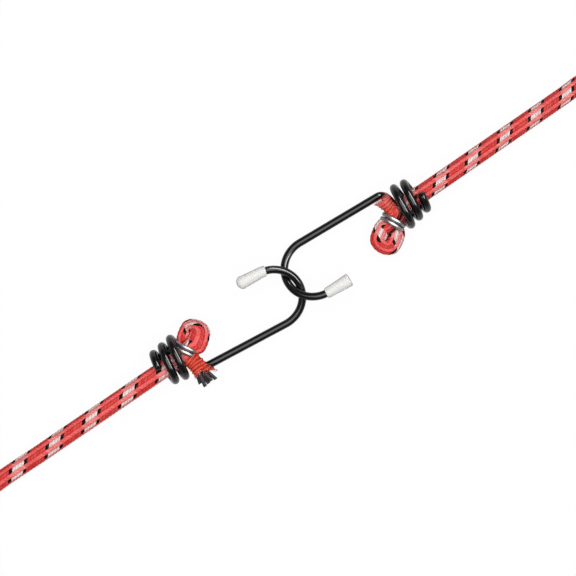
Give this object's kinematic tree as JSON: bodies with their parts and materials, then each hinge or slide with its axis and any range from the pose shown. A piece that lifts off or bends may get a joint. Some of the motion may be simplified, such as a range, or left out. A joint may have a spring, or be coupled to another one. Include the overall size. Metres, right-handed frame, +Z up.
{
  "type": "bungee cord",
  "caption": "Elastic cord of rubber strands in a braided sheath, each end folded, clipped and held in the coil of a wire hook with a plastic tip; the hooks hold each other.",
  "frame": {"origin": "on the floor under the link of the two hooks", "axes": "+Z up, +X to the right and +Y away from a person who looks down on the cord; the pull line through the two hooks lies 34.3 degrees from +X"},
  "size_m": [0.3203, 0.2444, 0.0221],
  "materials": {
    "wire": "gloss black coating on steel wire",
    "tip": "soft white vinyl, lightly glossy",
    "clip": "bright drawn wire",
    "sheath": "braided polyester, red with white and black flecks",
    "rubber": "matt charcoal latex"
  },
  "bodies": {
    "cord_ends": {"clip_left": "clip", "clip_right": "clip", "sheath_knot_left": "sheath", "sheath_knot_right": "sheath", "strand_1_knot_left": "rubber", "strand_2_knot_left": "rubber", "strand_3_knot_left": "rubber", "strand_4_knot_left": "rubber", "strand_5_knot_left": "rubber", "strand_6_knot_left": "rubber", "strand_7_knot_left": "rubber", "strand_1_knot_right": "rubber", "strand_2_knot_right": "rubber", "strand_3_knot_right": "rubber", "strand_4_knot_right": "rubber", "strand_5_knot_right": "rubber", "strand_6_knot_right": "rubber", "strand_7_knot_right": "rubber", "sheath_leg_left": "sheath", "core_leg_left": "rubber", "sheath_leg_right": "sheath", "core_leg_right": "rubber", "sheath_run_bottom": "sheath", "core_run_bottom": "rubber", "sheath_run_right": "sheath", "core_run_right": "rubber"},
    "hook_left": {"hook_left": "wire", "tip_left": "tip"},
    "hook_right": {"hook_right": "wire", "tip_right": "tip"},
    "far_bend": {"sheath_far_bend": "sheath", "core_far_bend": "rubber"}
  },
  "joints": [
    {"name": "hook_left_turn", "type": "hinge", "parent": "cord_ends", "child": "hook_left", "pos_m": [0, 0, 0.0113], "axis": [0.8402, 0.5423, 0], "range_deg": [0, 20]},
    {"name": "hook_right_turn", "type": "hinge", "parent": "cord_ends", "child": "hook_right", "pos_m": [0.00022, -0.00033, 0.0113], "axis": [-0.8117, -0.5841, 0], "range_deg": [0, 20]},
    {"name": "loop_stretch", "type": "slide", "parent": "cord_ends", "child": "far_bend", "axis": [0.5635, -0.8261, 0], "range_m": [0, 0.15], "stiffness_N_per_m": 620, "deforming": ["sheath_run_bottom", "core_run_bottom", "sheath_run_right", "core_run_right"]}
  ]
}
